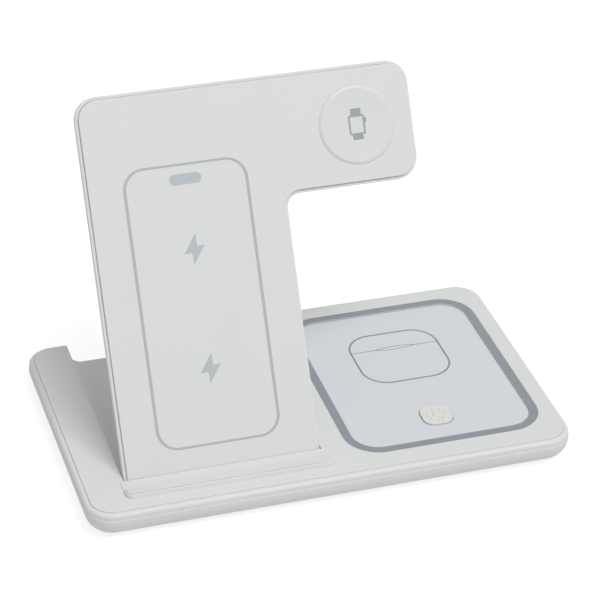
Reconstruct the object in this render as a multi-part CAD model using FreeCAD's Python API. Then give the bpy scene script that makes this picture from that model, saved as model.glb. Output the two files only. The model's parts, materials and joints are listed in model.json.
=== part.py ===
import FreeCAD, Part
import math
import os

# Folding three-in-one charging stand: a low base with a channel, a hinged L-shaped panel and a key.
# Units are millimetres. +X is right, +Y is back, +Z is up. The origin is on the floor, under the
# middle of the base.

V = FreeCAD.Vector

# Base form
BASE_WIDTH = 180.0
BASE_DEPTH = 109.0
BASE_HEIGHT = 11.2
BASE_CORNER = 10.0
BELLY_RADIUS = 7.6
PARTING_RISE = 0.8
LEDGE_WIDTH = 0.2
LEDGE_FILLET = 0.15
RIM_WIDTH = 2.05
RIM_FILLET = 1.3
SEAT_WIDTH = 1.0
COVER_THICK = 1.8
COVER_PROUD = 0.3
COVER_FILLET = 0.2
FLOOR_THICK = 1.4
CAVITY_ROUND = 5.0
SEAM = 0.1

# Rubber feet
FOOT_DIA = 12.0
FOOT_PROUD = 0.8
FOOT_POCKET = 0.5
FOOT_INSET_X = 19.0
FOOT_INSET_Y = 17.0

# Panel form, measured from the hinge axis up the panel
RAIL_WIDTH = 16.25
STEM_WIDTH = 71.9
HEAD_WIDTH = 122.05
HEAD_HEIGHT = 42.8
PANEL_LENGTH = 136.6
PANEL_THICK = 8.0
PANEL_CORNER = 8.2
NECK_FILLET = 5.0
PANEL_SIDE_FLAT = 1.8
PANEL_EDGE_FILLET = 0.3
PANEL_RIM = 1.05
PANEL_SEAM = 0.1
PANEL_BACK_WALL = 1.6
PLATE_THICK = 1.6
PLATE_PROUD = 1.0
PLATE_SEAT = 1.5
PLATE_FILLET = 0.3
PLATE_BOTTOM = 2.2
HINGE_ZONE = 6.5

# Fold of the panel
PANEL_ANGLE = 60.0
HINGE_INSET = 20.4
PANEL_GAP = 0.3
CHANNEL_BEVEL = 0.2

# Phone rest
REST_INSET = 7.2
REST_HEIGHT = 1.6
REST_DRAFT = 0.5
REST_BACK_HEIGHT = 0.3
REST_SEAT = 3.6
REST_OVER_LEFT = 1.45
REST_OVER_RIGHT = 2.55
REST_CORNER = 3.0
REST_FILLET = 0.3
REST_LINE_INSET = 0.6
REST_LINE_WIDTH = 0.3
REST_LINE_DEPTH = 0.35
REST_PEG_DIA = 3.0
REST_PEG_COUNT = 3
REST_PEG_INSET = 3.4

# Watch disc
PUCK_DIA = 28.4
PUCK_PROUD = 0.6
PUCK_DISH = 0.3
PUCK_BROW = 1.2
PUCK_EDGE = 0.1
PUCK_WALL = 1.0
PUCK_FROM_SIDE = 21.1
PUCK_SKIRT_DIA = 23.4
PUCK_SKIRT_WALL = 1.0
PUCK_SKIRT_DEPTH = 2.0
WATCH_COIL_HOLE = 8.0
WATCH_MAGNET_DIA = 6.0
WATCH_MAGNET_THICK = 2.0

# Coils
COIL_DIA = 40.0
COIL_HOLE = 20.0
COIL_THICK = 1.2
FERRITE_THICK = 0.8
FERRITE_MARGIN = 2.0
LOWER_COIL_UP = 36.9
COIL_SPACING = 2.5
PART_GAP = 0.1

# Light ring, pad and lamps
RING_GAP_LEFT = 9.55
RING_GAP_RIGHT = 7.2
RING_GAP_FRONT = 10.1
RING_GAP_BACK = 8.3
RING_BAND = 3.25
RING_CORNER = 13.0
RING_THICK = 2.6
RING_FOOT = 1.5
PAD_THICK = 1.4
PAD_SUNK = 0.5
SHELF_THICK = 1.2
SHELF_WIDTH = 2.0
SKIRT_WALL = 1.2
LIGHT_BOARD_THICK = 1.0
LIGHT_BOARD_EDGE = 0.5
LIGHT_BOARD_BAND = 7.5
LED_COUNT = 16
LED_SIZE = 1.6
LED_HEIGHT = 0.8
LED_INSET = 3.4
EARBUD_COIL_GAP = 13.2

# Key
KEY_SIZE = 11.3
KEY_CORNER = 4.0
KEY_PROUD = 0.6
KEY_FILLET = 0.3
KEY_GAP = 0.25
KEY_FROM_RING = 17.1
KEY_TRAVEL = 0.5
KEY_FLANGE = 1.0
KEY_FLANGE_THICK = 0.8
KEY_FLANGE_GAP = 0.05
KEY_BOSS_DIA = 4.0
KEY_BOSS_LENGTH = 0.9
SWITCH_SIZE = 6.0
SWITCH_HEIGHT = 2.2
PLUNGER_DIA = 3.0
PLUNGER_GAP = 0.05
PLUNGER_REACH = 1.0

# Boards and inlet
BOARD_THICK = 1.2
BOARD_POST_HEIGHT = 2.0
BOARD_POST_DIA = 6.0
BOARD_POST_INSET = 4.0
BOARD_SIDE_GAP = 8.0
BOARD_BACK_GAP = 5.0
CHIP_SIZE = 9.0
CHIP_HEIGHT = 1.0
SOCKET_WIDTH = 8.94
SOCKET_HEIGHT = 3.16
SOCKET_LENGTH = 6.0
SOCKET_WALL = 0.35
SOCKET_RECESS = 0.9
SOCKET_MOUTH = 4.6
SOCKET_TONGUE_WIDTH = 6.0
SOCKET_TONGUE_THICK = 0.7
SOCKET_GAP = 0.25
PANEL_BOARD_HEIGHT = 26.0
PANEL_BOARD_SIDE = 10.0
PANEL_BOARD_TOP = 8.0
PANEL_BOARD_THICK = 1.0
PANEL_POST_HEIGHT = 0.5

# Fasteners
SCREW_DIA = 2.0
SCREW_HEAD_DIA = 3.6
SCREW_HEAD_HEIGHT = 1.0
SCREW_INSET = 10.0
SCREW_LENGTH = 7.0
SCREW_CLEAR = 0.2
BOSS_DIA = 4.8
BOSS_SPLIT = 4.0
BOSS_FROM_CHANNEL = 4.2
BOARD_SCREW_LENGTH = 1.6
PANEL_SCREW_LENGTH = 1.2

# Friction hinge at the left, hollow pivot at the right
SHAFT_DIA = 3.0
SHAFT_IN_PANEL = 15.0
SHAFT_COLLAR_DIA = 5.0
RUN_CLEARANCE = 0.03
SIDE_CLEARANCE = 0.05
WALL_HOLE_CLEARANCE = 0.4
BRACKET_FROM_WALL = 2.6
BRACKET_THICK = 1.6
BRACKET_TOP = 2.7
BRACKET_LENGTH = 14.4
BRACKET_FOOT_THICK = 1.0
BRACKET_PAD_HEIGHT = 1.8
BRACKET_HOOD = 0.9
BRACKET_SCREW_SPREAD = 10.0
BRACKET_SCREW_LENGTH = 1.4
WASHER_DIA = 5.4
WASHER_THICK = 0.6
WASHER_COUNT = 4
WASHER_BORE_GAP = 0.05
NUT_THICK = 1.8
NUT_ACROSS = 4.7
PIVOT_DIA = 4.0
PIVOT_BORE = 2.8
PIVOT_IN_PANEL = 8.0
PIVOT_FLANGE_DIA = 5.4
PIVOT_FLANGE_THICK = 1.2
BUSH_DIA = 5.2
BUSH_INSET = 1.2
WIRE_BORE = 3.2
WIRE_SLOT_LENGTH = 6.0
RELIEF_LENGTH = 7.0
RELIEF_DEPTH = 0.8

# Places that follow from the sizes
TOP = FOOT_PROUD + BASE_HEIGHT
FLOOR_TOP = FOOT_PROUD + FLOOR_THICK
COVER_UNDER = TOP - COVER_THICK
RIM_TOP = TOP - COVER_PROUD
PARTING_Z = FOOT_PROUD + BELLY_RADIUS + PARTING_RISE
HALF_WIDTH = BASE_WIDTH / 2
HALF_DEPTH = BASE_DEPTH / 2
HALF_THICK = PANEL_THICK / 2
AXIS_Y = HINGE_INSET - HALF_DEPTH
AXIS_Z = TOP - HALF_THICK
PANEL_LEFT = RAIL_WIDTH + PANEL_GAP - HALF_WIDTH
STEM_RIGHT = PANEL_LEFT + STEM_WIDTH
HEAD_RIGHT = PANEL_LEFT + HEAD_WIDTH
STEM_MIDDLE = PANEL_LEFT + STEM_WIDTH / 2
ARM_LOW = PANEL_LENGTH - HEAD_HEIGHT
SHELL_FRONT = HALF_THICK - PLATE_PROUD
EDGE_ROUND = HALF_THICK + SHELL_FRONT - PANEL_SIDE_FLAT
TRAY_GAP = AXIS_Z - HALF_THICK - FLOOR_TOP
WALL_LEFT = PANEL_LEFT - TRAY_GAP
WALL_RIGHT = STEM_RIGHT + TRAY_GAP
RING_X0 = STEM_RIGHT + PANEL_GAP + RING_GAP_LEFT
RING_X1 = HALF_WIDTH - RING_GAP_RIGHT
RING_Y0 = RING_GAP_FRONT - HALF_DEPTH
RING_Y1 = HALF_DEPTH - RING_GAP_BACK
RING_MIDDLE = (RING_X0 + RING_X1) / 2
RING_UNDER = TOP - RING_THICK
SHELF_UNDER = RING_UNDER - SHELF_THICK
PAD_TOP = TOP - PAD_SUNK
PAD_UNDER = PAD_TOP - PAD_THICK
KEY_Y = RING_Y0 + KEY_FROM_RING
EARBUD_COIL_Y = RING_Y1 - EARBUD_COIL_GAP - COIL_DIA / 2
BOARD_Z = FLOOR_TOP + BOARD_POST_HEIGHT
BOARD_TOP = BOARD_Z + BOARD_THICK
BOARD_X0 = RING_X0 + BOARD_SIDE_GAP
BOARD_X1 = RING_X1 - BOARD_SIDE_GAP
BOARD_Y0 = KEY_Y - KEY_SIZE
BOARD_Y1 = HALF_DEPTH - BOARD_BACK_GAP
UPPER_COIL_UP = LOWER_COIL_UP + COIL_DIA + COIL_SPACING
PUCK_X = HEAD_RIGHT - PUCK_FROM_SIDE
PUCK_Y = PANEL_LENGTH - HEAD_HEIGHT / 2
PUCK_UNDER = HALF_THICK + PUCK_PROUD - PUCK_DISH - PUCK_WALL
PLATE_INSET = PANEL_RIM + PANEL_SEAM
PLATE_UNDER = HALF_THICK - PLATE_THICK
PANEL_FLOOR = PANEL_BACK_WALL - HALF_THICK
PANEL_POST_TOP = PANEL_FLOOR + PANEL_POST_HEIGHT
PANEL_BOARD_FACE = PANEL_POST_TOP + PANEL_BOARD_THICK
EAR_RIGHT = WALL_LEFT - BRACKET_FROM_WALL
EAR_LEFT = EAR_RIGHT - BRACKET_THICK
STACK_LEFT = EAR_LEFT - SIDE_CLEARANCE - WASHER_COUNT * WASHER_THICK
SHAFT_END = STACK_LEFT - NUT_THICK
BRACKET_PAD_TOP = FLOOR_TOP + BRACKET_PAD_HEIGHT
BRACKET_FOOT_TOP = BRACKET_PAD_TOP + BRACKET_FOOT_THICK
BRACKET_SCREW_X = (EAR_LEFT + SHAFT_END) / 2
PIVOT_TIP = STEM_RIGHT - PIVOT_IN_PANEL
CUT = 20.0


def outline(corners, z=0.0):
    """Closed face from (x, y, radius) corners, each corner turned by a tangent arc."""
    edges = []
    joints = []
    count = len(corners)
    for i in range(count):
        x, y, radius = corners[i]
        point = V(x, y, z)
        before = V(corners[i - 1][0], corners[i - 1][1], z).sub(point).normalize()
        after = V(corners[(i + 1) % count][0], corners[(i + 1) % count][1], z).sub(point).normalize()
        half = before.getAngle(after) / 2
        reach = radius / math.tan(half)
        bisector = before.add(after).normalize()
        start = point.add(before.multiply(reach))
        end = point.add(after.multiply(reach))
        middle = point.add(bisector.multiply(radius / math.sin(half) - radius))
        joints.append((start, end))
        if radius > 0:
            edges.append(Part.Arc(start, middle, end).toShape())
    for i in range(count):
        edges.append(Part.LineSegment(joints[i - 1][1], joints[i][0]).toShape())
    return Part.Face(Part.Wire(Part.__sortEdges__(edges)))


def rectangle(x0, x1, y0, y1, radius, z=0.0):
    """Rectangle face with equal round corners."""
    return outline([(x0, y0, radius), (x1, y0, radius), (x1, y1, radius), (x0, y1, radius)], z)


def prism(face, height):
    """Face pushed straight up."""
    return face.extrude(V(0, 0, height))


def block(x0, x1, y0, y1, z0, z1):
    """Box between two corners."""
    return Part.makeBox(x1 - x0, y1 - y0, z1 - z0, V(x0, y0, z0))


def post(x, y, z0, z1, diameter):
    """Upright round post."""
    return Part.makeCylinder(diameter / 2, z1 - z0, V(x, y, z0))


def rod(x0, x1, diameter, y=0.0, z=0.0):
    """Round rod along X."""
    return Part.makeCylinder(diameter / 2, x1 - x0, V(x0, y, z), V(1, 0, 0))


def tube(x0, x1, diameter, bore, y=0.0, z=0.0):
    """Round tube along X."""
    return rod(x0, x1, diameter, y, z).cut(rod(x0, x1, bore, y, z))


def disc(x, y, z0, z1, diameter, bore):
    """Upright ring."""
    return post(x, y, z0, z1, diameter).cut(post(x, y, z0, z1, bore))


def level_edges(solid, z):
    """Edges that lie at one height."""
    return [e for e in solid.Edges if abs(e.BoundBox.ZMin - z) < 0.001 and abs(e.BoundBox.ZMax - z) < 0.001]


def fused(shapes):
    """One solid from touching shapes."""
    return shapes[0].multiFuse(shapes[1:]).removeSplitter()


def leaning(shape):
    """Panel shape, drawn flat about the hinge axis, turned to its open angle and set on the axis."""
    placed = shape.copy()
    placed.rotate(V(0, 0, 0), V(1, 0, 0), PANEL_ANGLE)
    placed.translate(V(0, AXIS_Y, AXIS_Z))
    return placed


def base_rectangle(inset, z):
    """Plan of the base, drawn in by an inset."""
    radius = BASE_CORNER - inset
    x = HALF_WIDTH - inset
    y = HALF_DEPTH - inset
    return rectangle(-x, x, -y, y, radius, z)


def ring_rectangle(inset, z):
    """Plan of the light ring's outer edge, drawn in by an inset."""
    corners = (RING_X0 + inset, RING_X1 - inset, RING_Y0 + inset, RING_Y1 - inset)
    return rectangle(*corners, RING_CORNER - inset, z)


def panel_face(inset, bottom, z):
    """L-shaped plan of the panel, drawn in by an inset, cut straight at its foot."""
    x0 = PANEL_LEFT + inset
    x1 = STEM_RIGHT - inset
    x2 = HEAD_RIGHT - inset
    low = ARM_LOW + inset
    high = PANEL_LENGTH - inset
    outer = PANEL_CORNER - inset
    corners = [(x0, bottom, 0), (x1, bottom, 0), (x1, low, NECK_FILLET + inset)]
    corners += [(x2, low, outer), (x2, high, outer), (x0, high, outer)]
    return outline(corners, z)


def base_body():
    """Solid outer form of the base: round belly, fine ledge at mid height and rounded rim."""
    belly = prism(base_rectangle(0, FOOT_PROUD), PARTING_Z - FOOT_PROUD)
    belly = belly.makeFillet(BELLY_RADIUS, level_edges(belly, FOOT_PROUD))
    belly = belly.makeFillet(LEDGE_FILLET, level_edges(belly, PARTING_Z))
    upper = prism(base_rectangle(LEDGE_WIDTH, PARTING_Z), RIM_TOP - PARTING_Z)
    upper = upper.makeFillet(RIM_FILLET, level_edges(upper, RIM_TOP))
    return fused([belly, upper])


def channel(gap, bevel=0.0):
    """Room of the folding panel, grown by a gap: a coved trough, its round end and the open panel."""
    x0 = PANEL_LEFT - gap
    x1 = STEM_RIGHT + gap
    floor = AXIS_Z - HALF_THICK - gap
    cove = EDGE_ROUND + gap
    high = TOP + CUT
    flare = bevel + CUT
    left = [(x0, -floor, cove), (x0, bevel - TOP, 0), (x0 - flare, -high, 0)]
    right = [(x1 + flare, -high, 0), (x1, bevel - TOP, 0), (x1, -floor, cove)]
    section = outline(left + right)
    trough = section.extrude(V(0, 0, BASE_DEPTH))
    trough.rotate(V(0, 0, 0), V(1, 0, 0), -90)
    trough.translate(V(0, AXIS_Y, 0))
    end = rod(x0, x1, PANEL_THICK + 2 * gap, AXIS_Y, AXIS_Z)
    stand = leaning(block(x0, x1, 0, PANEL_THICK + CUT, -HALF_THICK, HALF_THICK + gap))
    return fused([trough, end, stand])


def screw_places():
    """Four corner screws and two beside the channel."""
    x = HALF_WIDTH - SCREW_INSET
    y = HALF_DEPTH - SCREW_INSET
    middle = WALL_RIGHT + BOSS_FROM_CHANNEL
    return [(a, b) for a in (-x, middle, x) for b in (-y, y)]


def board_places():
    """Corner posts of the main board."""
    xs = (BOARD_X0 + BOARD_POST_INSET, BOARD_X1 - BOARD_POST_INSET)
    ys = (BOARD_Y0 + BOARD_POST_INSET, BOARD_Y1 - BOARD_POST_INSET)
    return [(x, y) for x in xs for y in ys]


def foot_places():
    """Centres of the four feet."""
    x = HALF_WIDTH - FOOT_INSET_X
    y = HALF_DEPTH - FOOT_INSET_Y
    return [(a, b) for a in (-x, x) for b in (-y, y)]


def bracket_places():
    """Screws of the hinge bracket."""
    spread = BRACKET_SCREW_SPREAD / 2
    return [(BRACKET_SCREW_X, AXIS_Y - spread), (BRACKET_SCREW_X, AXIS_Y + spread)]


def socket_slot(grow, y0, y1):
    """Stadium-shaped slot of the inlet along Y."""
    wide = SOCKET_WIDTH / 2 + grow
    tall = SOCKET_HEIGHT / 2 + grow
    slot = prism(rectangle(-wide, wide, -tall, tall, tall * 0.99), y1 - y0)
    slot.rotate(V(0, 0, 0), V(1, 0, 0), -90)
    slot.translate(V(RING_MIDDLE, y0, BOARD_TOP + SOCKET_HEIGHT / 2))
    return slot


def make_base_lower_shell():
    """Tub with rim, cover seat, screw bosses, board posts, feet pockets and inlet opening."""
    inner = RIM_WIDTH + SEAT_WIDTH
    cavity = prism(base_rectangle(inner, FLOOR_TOP), COVER_UNDER - FLOOR_TOP)
    cavity = cavity.makeFillet(CAVITY_ROUND, level_edges(cavity, FLOOR_TOP))
    pocket = prism(base_rectangle(RIM_WIDTH, COVER_UNDER), CUT)
    posts = [post(x, y, FOOT_PROUD + FLOOR_THICK / 2, FLOOR_TOP + BOSS_SPLIT, BOSS_DIA)
             for x, y in screw_places()]
    posts += [post(x, y, FOOT_PROUD + FLOOR_THICK / 2, BOARD_Z, BOARD_POST_DIA) for x, y in board_places()]
    half = BRACKET_LENGTH / 2
    pad_floor = FOOT_PROUD + FLOOR_THICK / 2
    posts.append(block(SHAFT_END, EAR_RIGHT, AXIS_Y - half, AXIS_Y + half, pad_floor, BRACKET_PAD_TOP))
    inside = prism(base_rectangle(RIM_WIDTH, FOOT_PROUD), BASE_HEIGHT)
    kept = base_body()
    shell = kept.cut(cavity).cut(pocket)
    shell = fused([shell] + [p.common(kept).common(inside) for p in posts])
    cuts = [channel(TRAY_GAP + SEAM)]
    cuts += [post(x, y, 0, FOOT_PROUD + FOOT_POCKET, FOOT_DIA) for x, y in foot_places()]
    cuts += [post(x, y, 0, FLOOR_TOP + BOSS_SPLIT, SCREW_DIA + SCREW_CLEAR) for x, y in screw_places()]
    cuts += [post(x, y, 0, FOOT_PROUD + SCREW_HEAD_HEIGHT, SCREW_HEAD_DIA + SCREW_CLEAR)
             for x, y in screw_places()]
    cuts += [post(x, y, BOARD_TOP - BOARD_THICK - BOARD_SCREW_LENGTH, BOARD_Z, SCREW_DIA)
             for x, y in board_places()]
    cuts += [post(x, y, BRACKET_PAD_TOP - BRACKET_SCREW_LENGTH, BRACKET_PAD_TOP, SCREW_DIA)
             for x, y in bracket_places()]
    cuts.append(socket_slot(SOCKET_GAP, BOARD_Y1, HALF_DEPTH + CUT))
    return shell.cut(cuts)


def make_base_top_cover():
    """Inset plate with the folding channel, the ring shelf, screw bosses and hinge openings."""
    plate = prism(base_rectangle(RIM_WIDTH + SEAM, COVER_UNDER), COVER_THICK)
    plate = plate.makeFillet(COVER_FILLET, level_edges(plate, TOP))
    tray = channel(TRAY_GAP).common(base_body())
    shelf = prism(ring_rectangle(-SKIRT_WALL, SHELF_UNDER), TOP - SHELF_UNDER)
    bosses = [post(x, y, FLOOR_TOP + BOSS_SPLIT, TOP - COVER_THICK / 2, BOSS_DIA) for x, y in screw_places()]
    cover = fused([plate, tray, shelf] + bosses)
    half = RELIEF_LENGTH / 2
    low = COVER_UNDER - CUT
    cuts = [channel(PANEL_GAP, CHANNEL_BEVEL)]
    cuts.append(prism(ring_rectangle(-PART_GAP, RING_UNDER), CUT))
    cuts.append(prism(ring_rectangle(SHELF_WIDTH, low), 2 * CUT))
    cuts += [post(x, y, low, FOOT_PROUD + SCREW_LENGTH, SCREW_DIA) for x, y in screw_places()]
    cuts += [post(x, y, low, TOP + CUT, REST_PEG_DIA) for x, y in peg_places()]
    hood = COVER_UNDER + RELIEF_DEPTH
    cuts.append(block(SHAFT_END - BRACKET_HOOD, WALL_LEFT, AXIS_Y - half, AXIS_Y + half, low, hood))
    flange = PIVOT_FLANGE_THICK + BRACKET_HOOD
    cuts.append(block(WALL_RIGHT, WALL_RIGHT + flange, AXIS_Y - half, AXIS_Y + half, low, hood))
    shaft_hole = SHAFT_DIA + 2 * WALL_HOLE_CLEARANCE
    cuts.append(rod(WALL_LEFT - CUT, STEM_MIDDLE, shaft_hole, AXIS_Y, AXIS_Z))
    cuts.append(rod(STEM_MIDDLE, WALL_RIGHT, PIVOT_DIA, AXIS_Y, AXIS_Z))
    return cover.cut(cuts)


def peg_places():
    """Pegs that hold the phone rest."""
    step = STEM_WIDTH / REST_PEG_COUNT
    y = REST_INSET + REST_PEG_INSET - HALF_DEPTH
    return [(PANEL_LEFT + (i + 0.5) * step, y) for i in range(REST_PEG_COUNT)]


def make_phone_rest():
    """Strip with a low seat along the open panel, a ramp up to its leaning front, a fine line and pegs."""
    x0 = PANEL_LEFT - PANEL_GAP - REST_OVER_LEFT
    x1 = STEM_RIGHT + PANEL_GAP + REST_OVER_RIGHT
    front = REST_INSET - HALF_DEPTH
    edge = front + REST_DRAFT
    lean = math.radians(90 - PANEL_ANGLE)
    foot = AXIS_Y - (HALF_THICK + PANEL_GAP - HALF_THICK * math.sin(lean)) / math.cos(lean)
    back = foot + REST_BACK_HEIGHT * math.tan(lean)
    ramp = back - REST_SEAT
    seat = TOP + REST_BACK_HEIGHT
    points = [(front, TOP), (edge, TOP + REST_HEIGHT), (ramp, seat), (back, seat), (foot, TOP)]
    wire = Part.makePolygon([V(x0, y, z) for y, z in points + points[:1]])
    strip = Part.Face(wire).extrude(V(x1 - x0, 0, 0))
    upright = [e for e in strip.Edges if e.BoundBox.YMax < edge + 0.001 and e.BoundBox.ZLength > 0.001]
    strip = strip.makeFillet(REST_CORNER, upright)
    brow = [e for e in strip.Edges
            if e.BoundBox.YMax < edge + REST_CORNER + 0.001 and e.BoundBox.ZMin > TOP + 0.001]
    strip = strip.makeFillet(REST_FILLET, brow)
    inset = REST_LINE_INSET
    inner = REST_LINE_INSET + REST_LINE_WIDTH
    line = prism(rectangle(x0 + inset, x1 - REST_CORNER, edge + inset, ramp, REST_CORNER - inset, TOP), CUT)
    within = rectangle(x0 + inner, x1 + CUT, edge + inner, ramp + CUT, REST_CORNER - inner, TOP)
    lowered = strip.copy()
    lowered.translate(V(0, 0, -REST_LINE_DEPTH))
    strip = strip.cut(line.cut([prism(within, CUT), lowered]))
    pegs = [post(x, y, COVER_UNDER, seat, REST_PEG_DIA) for x, y in peg_places()]
    return fused([strip] + pegs)


def make_light_ring():
    """Ring let into the cover, with an inner foot that carries the pad."""
    outer = prism(ring_rectangle(0, RING_UNDER), RING_THICK)
    inner = prism(ring_rectangle(RING_BAND, PAD_UNDER), CUT)
    hole = prism(ring_rectangle(RING_BAND + RING_FOOT, RING_UNDER - CUT), 2 * CUT)
    return outer.cut([inner, hole])


def key_rectangle(grow, z):
    """Plan of the key, grown on every side."""
    half = KEY_SIZE / 2 + grow
    corners = (RING_MIDDLE - half, RING_MIDDLE + half, KEY_Y - half, KEY_Y + half)
    return rectangle(*corners, KEY_CORNER + grow, z)


def make_earbud_pad():
    """Pale plate inside the ring, with the key's opening."""
    plate = prism(ring_rectangle(RING_BAND + PART_GAP, PAD_UNDER), PAD_THICK)
    return plate.cut(prism(key_rectangle(KEY_GAP, PAD_UNDER - CUT), 2 * CUT))


def make_earbud_coil():
    """Flat coil under the pad."""
    return disc(RING_MIDDLE, EARBUD_COIL_Y, PAD_UNDER - COIL_THICK, PAD_UNDER, COIL_DIA, COIL_HOLE)


def make_earbud_ferrite():
    """Ferrite plate behind the earbud coil."""
    half = COIL_DIA / 2 + FERRITE_MARGIN
    high = PAD_UNDER - COIL_THICK
    return block(RING_MIDDLE - half, RING_MIDDLE + half, EARBUD_COIL_Y - half, EARBUD_COIL_Y + half,
                 high - FERRITE_THICK, high)


def make_light_board():
    """Frame-shaped board under the ring shelf."""
    low = SHELF_UNDER - LIGHT_BOARD_THICK
    board = prism(ring_rectangle(LIGHT_BOARD_EDGE, low), LIGHT_BOARD_THICK)
    return board.cut(prism(ring_rectangle(LIGHT_BOARD_EDGE + LIGHT_BOARD_BAND, low - CUT), 2 * CUT))


def make_light_leds():
    """Lamps spread evenly along the ring."""
    path = ring_rectangle(LED_INSET, SHELF_UNDER).OuterWire
    spots = path.discretize(Number=LED_COUNT + 1)[:-1]
    half = LED_SIZE / 2
    lamps = [block(p.x - half, p.x + half, p.y - half, p.y + half, p.z, p.z + LED_HEIGHT) for p in spots]
    return Part.makeCompound(lamps)


def make_main_board():
    """Control board on its posts, with its chips."""
    board = block(BOARD_X0, BOARD_X1, BOARD_Y0, BOARD_Y1, BOARD_Z, BOARD_TOP)
    chips = []
    for along in (0.35, 0.55, 0.75):
        y = BOARD_Y0 + along * (BOARD_Y1 - BOARD_Y0)
        chips.append(block(RING_MIDDLE - CHIP_SIZE, RING_MIDDLE, y, y + CHIP_SIZE, BOARD_TOP,
                           BOARD_TOP + CHIP_HEIGHT))
    board = fused([board] + chips)
    holes = [post(x, y, BOARD_Z, BOARD_TOP, SCREW_DIA + SCREW_CLEAR) for x, y in board_places()]
    return board.cut(holes)


def make_key_switch():
    """Switch body under the key, with the plunger's well."""
    half = SWITCH_SIZE / 2
    high = BOARD_TOP + SWITCH_HEIGHT
    body = block(RING_MIDDLE - half, RING_MIDDLE + half, KEY_Y - half, KEY_Y + half, BOARD_TOP, high)
    well = high - PLUNGER_REACH - KEY_TRAVEL - PLUNGER_GAP
    return body.cut(post(RING_MIDDLE, KEY_Y, well, high, PLUNGER_DIA + 2 * PLUNGER_GAP))


def make_key_cap():
    """Rounded square key with a flange that stops it under the pad and a boss on the plunger."""
    stop = PAD_UNDER - KEY_FLANGE_GAP
    high = PAD_TOP + KEY_PROUD
    cap = prism(key_rectangle(0, stop), high - stop)
    cap = cap.makeFillet(KEY_FILLET, level_edges(cap, high))
    flange = prism(key_rectangle(KEY_FLANGE, stop - KEY_FLANGE_THICK), KEY_FLANGE_THICK)
    low = stop - KEY_FLANGE_THICK - KEY_BOSS_LENGTH
    return fused([cap, flange, post(RING_MIDDLE, KEY_Y, low, stop, KEY_BOSS_DIA)])


def make_key_plunger():
    """Plunger between the key's boss and the switch."""
    high = PAD_UNDER - KEY_FLANGE_GAP - KEY_FLANGE_THICK - KEY_BOSS_LENGTH
    return post(RING_MIDDLE, KEY_Y, BOARD_TOP + SWITCH_HEIGHT - PLUNGER_REACH, high, PLUNGER_DIA)


def make_usb_c_socket():
    """Inlet shell with its tongue, mouth to the back."""
    mouth = HALF_DEPTH - SOCKET_RECESS
    start = mouth - SOCKET_LENGTH
    shell = socket_slot(0, start, mouth)
    shell = shell.cut(socket_slot(-SOCKET_WALL, mouth - SOCKET_MOUTH, mouth + CUT))
    half = SOCKET_TONGUE_WIDTH / 2
    middle = BOARD_TOP + SOCKET_HEIGHT / 2
    rise = SOCKET_TONGUE_THICK / 2
    tongue = block(RING_MIDDLE - half, RING_MIDDLE + half, start + SOCKET_WALL, mouth - SOCKET_RECESS,
                   middle - rise, middle + rise)
    return fused([shell, tongue])


def make_hinge_bracket():
    """Angle bracket in the rail: a foot on its pad and an ear round the shaft."""
    half = BRACKET_LENGTH / 2
    foot = block(SHAFT_END, EAR_RIGHT, AXIS_Y - half, AXIS_Y + half, BRACKET_PAD_TOP, BRACKET_FOOT_TOP)
    web = block(EAR_LEFT, EAR_RIGHT, AXIS_Y - BRACKET_TOP, AXIS_Y + BRACKET_TOP, BRACKET_PAD_TOP, AXIS_Z)
    ear = rod(EAR_LEFT, EAR_RIGHT, 2 * BRACKET_TOP, AXIS_Y, AXIS_Z)
    bracket = fused([foot, web, ear])
    cuts = [rod(EAR_LEFT, EAR_RIGHT, SHAFT_DIA + 2 * RUN_CLEARANCE, AXIS_Y, AXIS_Z)]
    cuts += [post(x, y, BRACKET_PAD_TOP, BRACKET_FOOT_TOP, SCREW_DIA + SCREW_CLEAR)
             for x, y in bracket_places()]
    return bracket.cut(cuts)


def screws(places, seat, length):
    """Pan-head screws standing on a seat, driven down."""
    solids = []
    for x, y in places:
        head = post(x, y, seat, seat + SCREW_HEAD_HEIGHT, SCREW_HEAD_DIA)
        solids.append(fused([head, post(x, y, seat - length, seat, SCREW_DIA)]))
    return Part.makeCompound(solids)


def make_base_screws():
    """Screws driven up from below, heads sunk in the floor."""
    solids = []
    seat = FOOT_PROUD + SCREW_HEAD_HEIGHT
    for x, y in screw_places():
        head = post(x, y, FOOT_PROUD, seat, SCREW_HEAD_DIA)
        solids.append(fused([head, post(x, y, seat, FOOT_PROUD + SCREW_LENGTH, SCREW_DIA)]))
    return Part.makeCompound(solids)


def make_rubber_feet():
    """Four round feet let into the floor."""
    feet = [post(x, y, 0, FOOT_PROUD + FOOT_POCKET, FOOT_DIA) for x, y in foot_places()]
    return Part.makeCompound(feet)


def make_hinge_pivot():
    """Hollow pivot that carries the wires from the base into the panel."""
    flange = WALL_RIGHT + PIVOT_FLANGE_THICK
    body = fused([rod(PIVOT_TIP, flange, PIVOT_DIA), rod(WALL_RIGHT, flange, PIVOT_FLANGE_DIA)])
    pivot = body.cut(rod(PIVOT_TIP, flange, PIVOT_BORE))
    pivot.translate(V(0, AXIS_Y, AXIS_Z))
    return pivot


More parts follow.
